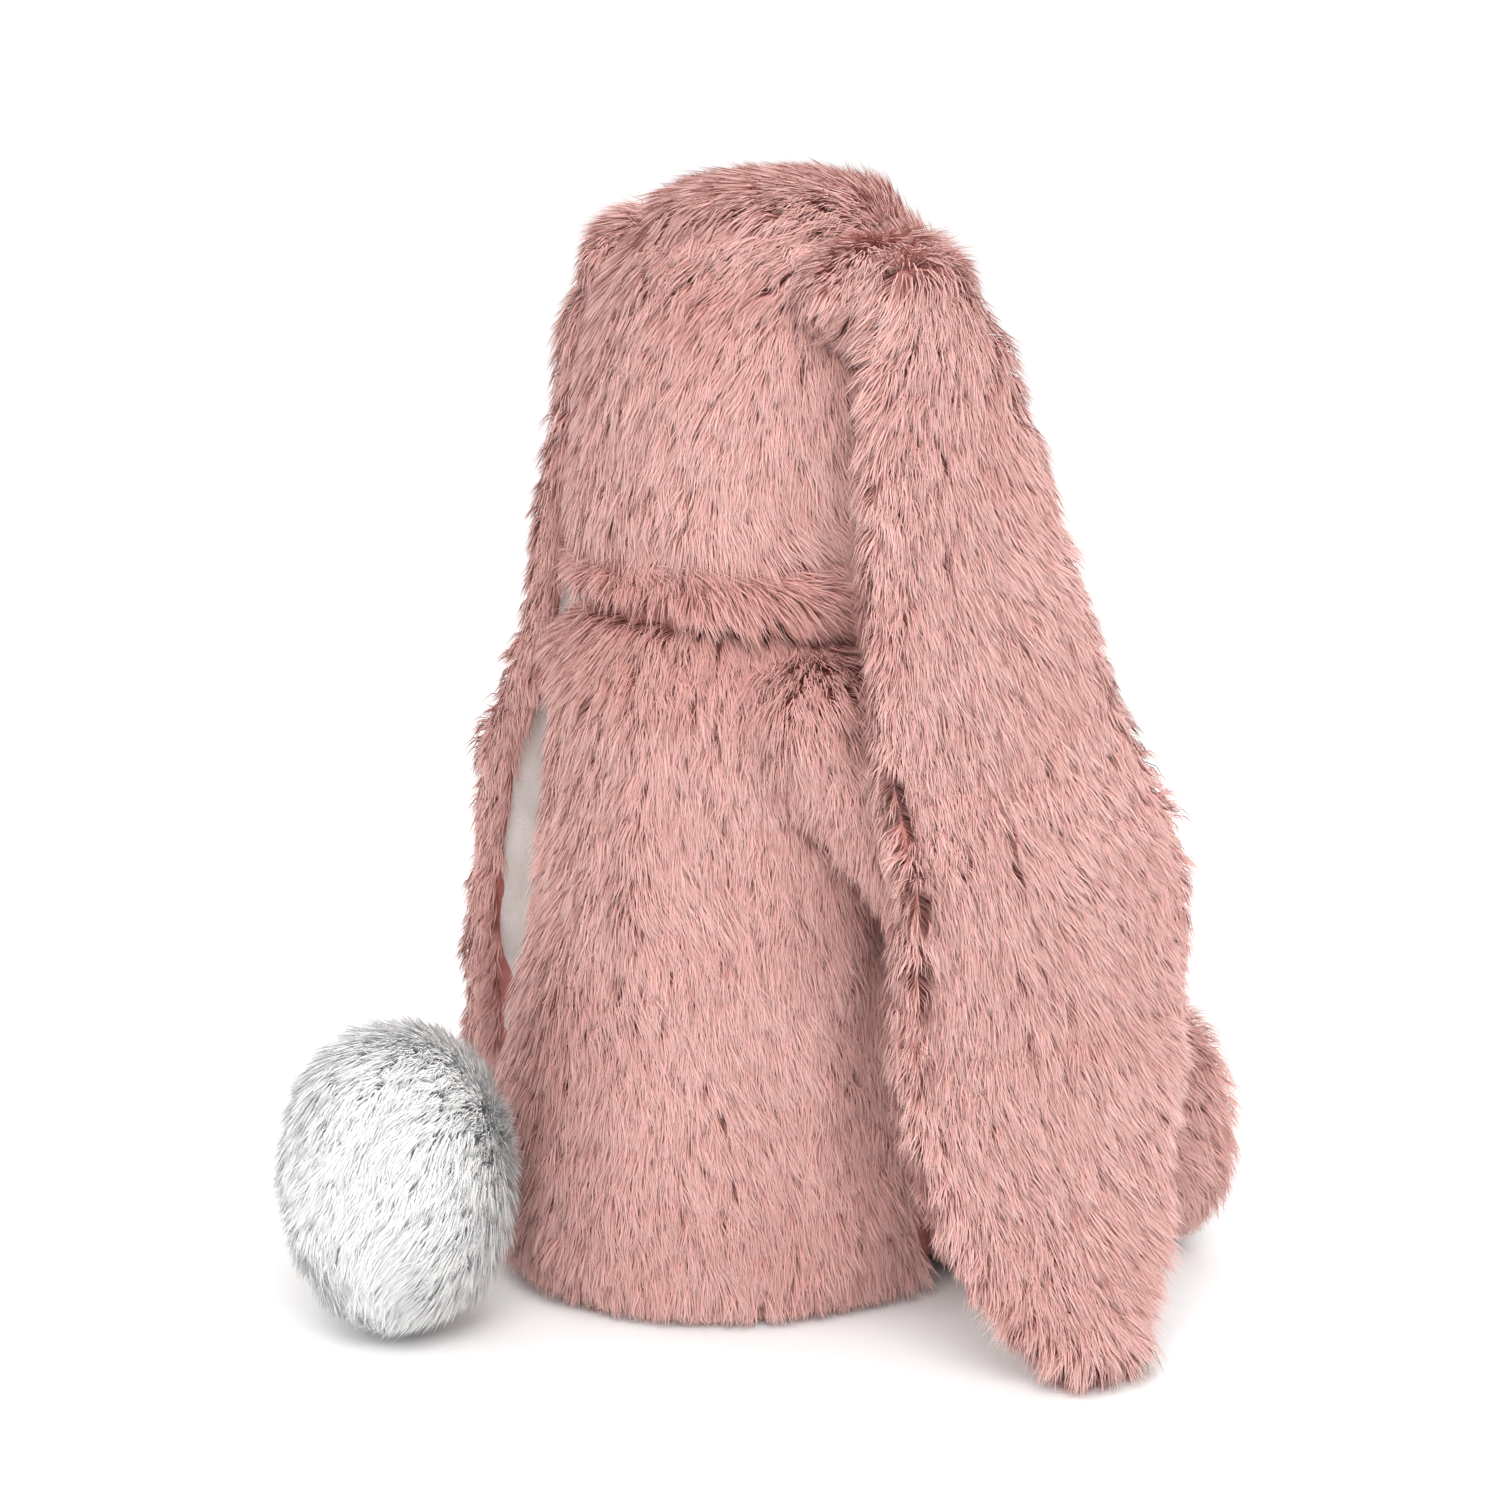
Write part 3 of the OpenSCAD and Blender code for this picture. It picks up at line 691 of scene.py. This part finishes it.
def head_keep(p, n):
    keep = np.ones(len(p))
    for at in EYE_AT.values():
        keep *= np.linalg.norm(p - at, axis=1) > 0.0085
    on_nose = (np.abs(p[:, 0]) < (NOSE_HIGH[0] - NOSE_LOW[0]) / 2 - 1.5 * MM)
    on_nose &= (p[:, 2] > NOSE_LOW[2] + 2 * MM) & (p[:, 2] < NOSE_HIGH[2] - 1.5 * MM) & (p[:, 1] < -0.06)
    keep *= ~on_nose
    keep *= ~((n[:, 2] < -0.75) & (p[:, 2] < 0.215) & (np.hypot(p[:, 0], p[:, 1]) < 0.044))
    return keep


SWIRL_AT = np.array([-0.029, 0.033, 0.284])
SWIRL_SIZE = np.array([0.015, 0.015, 0.016])


def head_painted_shade(p):
    """Painted shade: darker in the swirl on the crown and where the fur rolls over the neck."""
    swirl = np.exp(-np.sum(((p - SWIRL_AT) / SWIRL_SIZE) ** 2, axis=1))
    roll = np.exp(-((p[:, 2] - 0.208) / 0.006) ** 2) * (p[:, 1] > 0)
    return -0.75 * swirl - 0.45 * roll


fur("head_fur", head, "head", head_comb, 12, length=face_length, keep=head_keep, painted_shade_at=head_painted_shade)

for side, sign in SIDES:
    for node, mat in ((f"eye_{side}", BEAD), (f"eye_washer_{side}", WASHER)):
        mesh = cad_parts[node].data
        mesh.materials.clear()
        mesh.materials.append(mat)


def thread_tubes(name, runs, radius, *nodes):
    """Each run of points as a round thread with closed ends, all in one mesh."""
    points, tris, sides = [], [], 8
    for run in runs:
        run = np.array(run)
        along = unit(np.gradient(run, axis=0))
        side = unit(np.cross(along, np.array([0, 1.0, 0.03])))
        up = np.cross(side, along)
        start = len(points)
        for k in range(len(run)):
            end = 0.35 if k in (0, len(run) - 1) else 1.0
            for i in range(sides):
                a = 2 * math.pi * i / sides
                points.append(run[k] + radius * end * (side[k] * math.cos(a) + up[k] * math.sin(a)))
        for k in range(len(run) - 1):
            for i in range(sides):
                a, b = start + k * sides, start + (k + 1) * sides
                j = (i + 1) % sides
                tris.append((a + i, a + j, b + j, b + i))
        tris.append(tuple(start + i for i in reversed(range(sides))))
        tris.append(tuple(start + (len(run) - 1) * sides + i for i in range(sides)))
    obj = new_object(name, points, tris)
    obj.data.materials.append(THREAD)
    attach(obj, "head")
    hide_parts(*nodes)
    return obj


def face_front(x, z):
    """Where the muzzle's skin lies at a place on the face, looking from the front."""
    hit = FACE.ray_cast(Vector((x, -0.2, z)), Vector((0, 1, 0)))
    return hit[0].y if hit[0] else -0.08


FACE = BVHTree.FromPolygons(get_points(head).tolist(), get_tris(head).tolist())
half_w = (NOSE_HIGH[0] - NOSE_LOW[0]) / 2
nose_h = NOSE_HIGH[2] - NOSE_LOW[2]
runs = []
for x in np.linspace(-0.94, 0.94, 25):
    top = NOSE_HIGH[2] - nose_h * (0.04 + 0.16 * abs(x) ** 3)
    bottom = NOSE_HIGH[2] - nose_h * (0.96 - 0.72 * abs(x) ** 1.3)
    z = np.linspace(top, bottom, 7)
    swell = np.sin(np.pi * np.linspace(0.06, 0.94, 7)) ** 0.5 * (1 - 0.35 * x * x)
    y = np.array([face_front(x * half_w, v) for v in z]) + 0.4 * MM - 3.4 * MM * swell
    runs.append(np.stack([np.full(7, x * half_w), y, z], 1))
thread_tubes("nose_satin", runs, 0.52 * MM, "nose")

runs = []
mouth_r = (MOUTH_HIGH[0] - MOUTH_LOW[0]) / 4
for side, sign in SIDES:
    for k in range(6):
        a = math.pi * (k + np.array([0.08, 0.35, 0.65, 0.92])) / 6
        x = sign * (mouth_r - mouth_r * np.cos(a))
        z = MOUTH_HIGH[2] - mouth_r * np.sin(a)
        y = np.array([face_front(u, v) for u, v in zip(x, z)]) - 1.9 * MM
        y[0] += 0.9 * MM
        y[-1] += 0.9 * MM
        runs.append(np.stack([x, y, z], 1))
thread_tubes("mouth_thread", runs, 0.85 * MM, "mouth_stitches")

# ---- arms and legs ----


def torso_gap(p):
    """How far each point is outside the torso, in metres, measured level."""
    r = np.interp(p[:, 2], outline_z, outline_r)
    oval = box("torso_back_left")[1][0] / box("torso_back_left")[1][1]
    return np.hypot(p[:, 0] / oval, p[:, 1]) - r


def outside_torso(p, n):
    return (torso_gap(p) > -7 * MM) | (p[:, 2] > outline_z[-1])


def arm_keep(p, n):
    at = np.stack([np.abs(p[:, 0]) - 0.0475, p[:, 1] - 0.008, p[:, 2] - 0.165], 1)
    return outside_torso(p, n) & (np.linalg.norm(at, axis=1) > 11 * MM)


for side, sign in SIDES:
    nodes = [f"arm_fur_{side}", f"arm_stuffing_{side}"]

    def arm_comb(p, n):
        """Fur that runs out from the shoulder and then down the arm."""
        high = smooth_step(p[:, 2], 0.15, 0.175)[:, None]
        return np.array([0.0, -0.45, -1.0]) * (1 - high) + np.array([sign * 0.9, -0.3, -0.6]) * high

    arm = skin_round(f"arm_skin_{side}", *cad_mesh(*nodes), 3 * MM, 5 * MM)
    dress(arm, f"arm_{side}", "body_fur", PINK_CLOTH, 0.7, *nodes)
    fur(f"arm_hair_{side}", arm, f"arm_{side}", arm_comb,
        23 + int(sign), length=10 * MM, keep=arm_keep, tone=0.42)

    sole_low, sole_high = box(f"foot_sole_{side}")
    sole_mid = (sole_low + sole_high) / 2
    sole_half = (sole_high - sole_low) / 2

    def front(p, extra=0.0):
        x = (p[:, 0] - sole_mid[0]) / (sole_half[0] + extra)
        z = (p[:, 2] - sole_mid[2]) / (sole_half[2] + extra)
        return (x * x + z * z < 1) & (p[:, 1] < sole_high[1] + 9 * MM)

    def leg_inset(p):
        return 6 * MM * (1 - 0.85 * front(p, 1 * MM))

    nodes = [f"leg_fur_{side}", f"leg_stuffing_{side}"]
    leg = skin_round(f"leg_skin_{side}", *cad_mesh(*nodes), 3 * MM, leg_inset, rounds=5)
    crumple(leg, 1.2 * MM, 0.03, 75)
    dress(leg, f"leg_{side}", "body_fur", PINK_CLOTH, 0.75, *nodes)

    def leg_comb(p, n):
        d = np.tile([0.0, -0.9, -0.35], (len(p), 1))
        foot = smooth_step(-p[:, 1], -sole_high[1] - 0.03, -sole_high[1] - 0.012)[:, None]
        return d * (1 - foot) + np.array([0.0, -0.25, -1.0]) * foot

    def leg_keep(p, n):
        return outside_torso(p, n) & ~(front(p, -1.5 * MM) & (n[:, 1] < -0.5))

    fur(f"leg_hair_{side}", leg, f"leg_{side}", leg_comb, 27 + int(sign),
        length=10 * MM, keep=leg_keep, tone=0.45)

    sole = skin_round(f"sole_{side}", *cad_mesh(f"foot_sole_{side}"), 1.3 * MM, 0.0, rounds=4)
    crumple(sole, 0.5 * MM, 0.012, 77)
    dress(sole, f"leg_{side}", "sole_velour", VELOUR, 0.3, f"foot_sole_{side}")

# ---- ears ----

EAR_EDGE = 5 * MM
LINING_BORDER = 8.5 * MM


def closed_rings(rings):
    """A closed tube through rings of points, with its two ends capped."""
    steps, count = len(rings[0]), len(rings)
    points = np.concatenate(list(rings) + [rings[0].mean(0)[None], rings[-1].mean(0)[None]])
    tris = []
    for i in range(steps):
        k = (i + 1) % steps
        tris += [(steps * count, k, i), (steps * count + 1, steps * (count - 1) + i, steps * (count - 1) + k)]
        for j in range(count - 1):
            a, b = j * steps, (j + 1) * steps
            tris += [(a + i, a + k, b + k), (a + i, b + k, b + i)]
    return points, np.array(tris)


def flat_ring(half, thick, across=16, round_end=6):
    """A flat, round-ended outline: places across it and through it."""
    r = thick / 2
    run = np.linspace(-(half - r), half - r, across)
    bend = np.linspace(-math.pi / 2, math.pi / 2, round_end + 2)[1:-1]
    u = np.concatenate([run, half - r + r * np.cos(bend), run[::-1], -(half - r) - r * np.cos(bend)])
    v = np.concatenate([np.full(across, -r), r * np.sin(bend), np.full(across, r), -r * np.sin(bend)])
    return u, v


for side, sign in SIDES:
    back, lining = f"ear_back_{side}", f"ear_lining_{side}"
    ear_low, ear_high = box(back)
    lining_low, lining_high = box(lining)
    solid_points, solid_tris = cad_mesh(back, lining)
    inner_face = BVHTree.FromPolygons(solid_points.tolist(), solid_tris.tolist())
    levels = np.linspace(ear_low[2] + 1.5 * MM, ear_high[2] - 1.5 * MM, 40)
    middles, halves = [], []
    for z in levels:
        near = solid_points[np.argsort(np.abs(solid_points[:, 2] - z))[:60], 1]
        middles.append((near.min() + near.max()) / 2)
        halves.append((near.max() - near.min()) / 2)
    for _ in range(2):
        halves = np.convolve(np.pad(halves, 1, mode="edge"), [0.25, 0.5, 0.25], "valid")
        middles = np.convolve(np.pad(middles, 1, mode="edge"), [0.25, 0.5, 0.25], "valid")

    def inner_x(y, z):
        """Where the CAD ear's inner face lies, looking outwards from the middle plane."""
        hit = inner_face.ray_cast(Vector((0, y, z)), Vector((sign, 0, 0)))
        return hit[0].x if hit[0] else None

    def inner_row(ys, z):
        found = [inner_x(y, z) for y in ys]
        good = [k for k, x in enumerate(found) if x is not None]
        if not good:
            return None
        return np.interp(np.arange(len(ys)), good, [found[k] for k in good])

    def across_ear(p):
        """From 0 at the middle of the ear to 1 at its edge, and below nothing ahead of the middle."""
        return (p[:, 1] - np.interp(p[:, 2], levels, middles)) / np.interp(p[:, 2], levels, halves)

    rings = []
    for z in np.linspace(ear_low[2] + 6 * MM, ear_high[2] - 3 * MM, 56):
        half = max(np.interp(z, levels, halves) - EAR_EDGE, 3.2 * MM)
        u, v = flat_ring(half, 5.5 * MM)
        y = np.interp(z, levels, middles) + u
        y = y - 3 * MM * smooth_step(z, 0.215, 0.245) * smooth_step(u / half, -0.2, 1.0)
        x = inner_row(y, z)
        if x is not None:
            rings.append(np.stack([x + sign * (5.6 * MM + v), y, np.full(len(y), z)], 1))
    tube = closed_rings(rings if sign > 0 else [ring[::-1] for ring in rings])
    root = ball((sign * 0.0535, -0.0085, 0.2855), (0.010, 0.0245, 0.010))
    ear = skin_round(f"ear_skin_{side}", *joined(tube, root), 2 * MM, 0.0, rounds=5)
    crumple(ear, 2.2 * MM, 0.045, 81)
    press(ear, [((sign * 128, -40, 78), (0.1, 0.5, 1), 8, 8, 2.0)])
    dress(ear, f"ear_{side}", "body_fur", PINK_CLOTH, 0.3, back)

    rows, fronts, pad_z = 64, 23, np.linspace(lining_low[2] + 8 * MM, lining_high[2] - 1 * MM, 64)
    share = np.linspace(-1, 1, fronts)
    grid = []
    for z in pad_z:
        half = max(np.interp(z, levels, halves) - LINING_BORDER, 2 * MM)
        y = np.interp(z, levels, middles) + share * half
        grid.append(np.stack([inner_row(y, z), y, np.full(fronts, z)], 1))
    grid = np.array(grid)
    for _ in range(6):
        grid[1:-1, :, 0] = 0.25 * grid[:-2, :, 0] + 0.5 * grid[1:-1, :, 0] + 0.25 * grid[2:, :, 0]
        grid[:, 1:-1, 0] = 0.25 * grid[:, :-2, 0] + 0.5 * grid[:, 1:-1, 0] + 0.25 * grid[:, 2:, 0]
    flat = grid.reshape(-1, 3)
    puff = np.tile(np.sqrt(np.clip(1 - share ** 4, 0, 1)), rows)
    ends = np.repeat(np.sqrt(np.clip(1 - np.linspace(-1, 1, rows) ** 10, 0, 1)), fronts)
    ribs = np.sin(flat[:, 2] / 0.0042 + 6 * noise3(flat, 0.05, 85)) * 0.35
    soft = (noise3(flat, 0.018, 86) - 0.5) * 1.8
    rise = (3.6 * puff * ends + (ribs + soft) * puff * ends) * MM
    front_face, back_face = flat.copy(), flat.copy()
    front_face[:, 0] += sign * (3.8 * MM - rise)
    back_face[:, 0] += sign * 5.0 * MM
    quads = []
    for j in range(rows - 1):
        for i in range(fronts - 1):
            a, n = j * fronts + i, rows * fronts
            quads.append((a, a + 1, a + fronts + 1, a + fronts))
            quads.append((n + a, n + a + fronts, n + a + fronts + 1, n + a + 1))
    rim = [i for i in range(fronts)] + [j * fronts + fronts - 1 for j in range(1, rows)]
    rim += [(rows - 1) * fronts + i for i in range(fronts - 2, -1, -1)]
    rim += [j * fronts for j in range(rows - 2, 0, -1)]
    for k in range(len(rim)):
        a, b = rim[k], rim[(k + 1) % len(rim)]
        quads.append((a, a + rows * fronts, b + rows * fronts, b))
    if sign < 0:
        quads = [q[::-1] for q in quads]
    pad = new_object(f"ear_velour_{side}", np.concatenate([front_face, back_face]), quads)
    dress(pad, f"ear_{side}", "ear_velour", VELOUR, 0.2, lining)

    def ear_comb(p, n):
        d = np.zeros_like(p)
        d[:, 2] = -1.0
        d[:, 1] = np.clip(across_ear(p) * 1.6, -1, 1) * 0.36
        d[:, 0] = sign * 0.8 * smooth_step(p[:, 2], 0.285, 0.30)
        return d

    def ear_keep(p, n):
        half = np.interp(p[:, 2], levels, halves)
        lined = np.abs(across_ear(p)) * half < half - LINING_BORDER - 0.5 * MM
        lined &= (p[:, 2] > pad_z[0] + 1 * MM) & (p[:, 2] < pad_z[-1] - 1 * MM) & (n[:, 0] * sign < 0.0)
        return ~lined

    def ear_length(p):
        """Shorter towards the edge, where the border turns over the lining."""
        return 10.5 * MM - 3.0 * MM * smooth_step(np.abs(across_ear(p)), 0.68, 0.92)

    fur(f"ear_fur_{side}", ear, f"ear_{side}", ear_comb, 32 + int(sign),
        keep=ear_keep, length=ear_length, tone=0.58)

# ---- tail ----

TAIL_NODES = ["tail_left", "tail_right", "tail_stuffing"]
tail = skin_round("tail_skin", *cad_mesh(*TAIL_NODES), 3 * MM, 9.5 * MM)
crumple(tail, 1.5 * MM, 0.03, 90)
dress(tail, "tail", "tail_fur", WHITE_CLOTH, 0.6, *TAIL_NODES)
tail_middle = sum(box("tail_left")) / 2


def tail_comb(p, n):
    """Fur that stands away from the body and falls a little, each patch leaning its own way."""
    away = unit(p - np.array([0.0, tail_middle[1] - 0.03, tail_middle[2]]))
    lean = np.stack([noise3(p, 0.014, 91 + k) - 0.5 for k in range(3)], 1)
    return away + lean * 0.8 + np.array([0, 0, -0.35])


fur("tail_fur", tail, "tail", tail_comb, 41, mat=WHITE_HAIR, per_mm2=7.0, lift=1.3, length=9 * MM,
    tuft=2.6 * MM, pull=0.25, width=0.36 * MM, clump=0.08, tone=0.35)

# ---- stage ----

floor = new_object("floor", [(-9, -9, 0), (9, -9, 0), (9, 9, 0), (-9, 9, 0)], [(0, 1, 2, 3)], smooth=False)
floor_mat, floor_tree, floor_shader = material("floor_white", 0.9, specular=0.1)
floor_shader.inputs["Base Color"].default_value = (0.97, 0.97, 0.97, 1)
floor.data.materials.append(floor_mat)

world = bpy.data.worlds.new("studio")
world.use_nodes = True
world.node_tree.nodes["Background"].inputs["Color"].default_value = (1, 1, 1, 1)
world.node_tree.nodes["Background"].inputs["Strength"].default_value = 1.04
bpy.context.scene.world = world
bpy.context.scene.view_settings.view_transform = "Standard"


def area_light(name, place, aim, size, power):
    light = bpy.data.lights.new(name, "AREA")
    light.shape = "SQUARE"
    light.size = size
    light.energy = power
    obj = bpy.data.objects.new(name, light)
    obj.location = place
    obj.rotation_euler = (Vector(aim) - Vector(place)).to_track_quat("-Z", "Y").to_euler()
    bpy.context.scene.collection.objects.link(obj)


area_light("key", (-1.25, 0.8, 1.5), (0, 0, 0.12), 1.3, 27)

# ---- camera ----

AZIMUTH = math.radians(235)
ELEVATION = math.radians(12.5)
DISTANCE = 1.1
LENS = 92.4
right = Vector((math.cos(AZIMUTH), math.sin(AZIMUTH), 0))
aim = Vector((0, 0, 0.15)) + right * 0.0014
camera = bpy.data.objects.new("camera", bpy.data.cameras.new("camera"))
camera.data.lens = LENS
camera.data.sensor_width = 36
camera.location = aim + DISTANCE * Vector((
    math.sin(AZIMUTH) * math.cos(ELEVATION),
    -math.cos(AZIMUTH) * math.cos(ELEVATION),
    math.sin(ELEVATION)))
camera.rotation_euler = (aim - camera.location).to_track_quat("-Z", "Y").to_euler()
camera.data.clip_start = 0.01
bpy.context.scene.collection.objects.link(camera)
bpy.context.scene.camera = camera
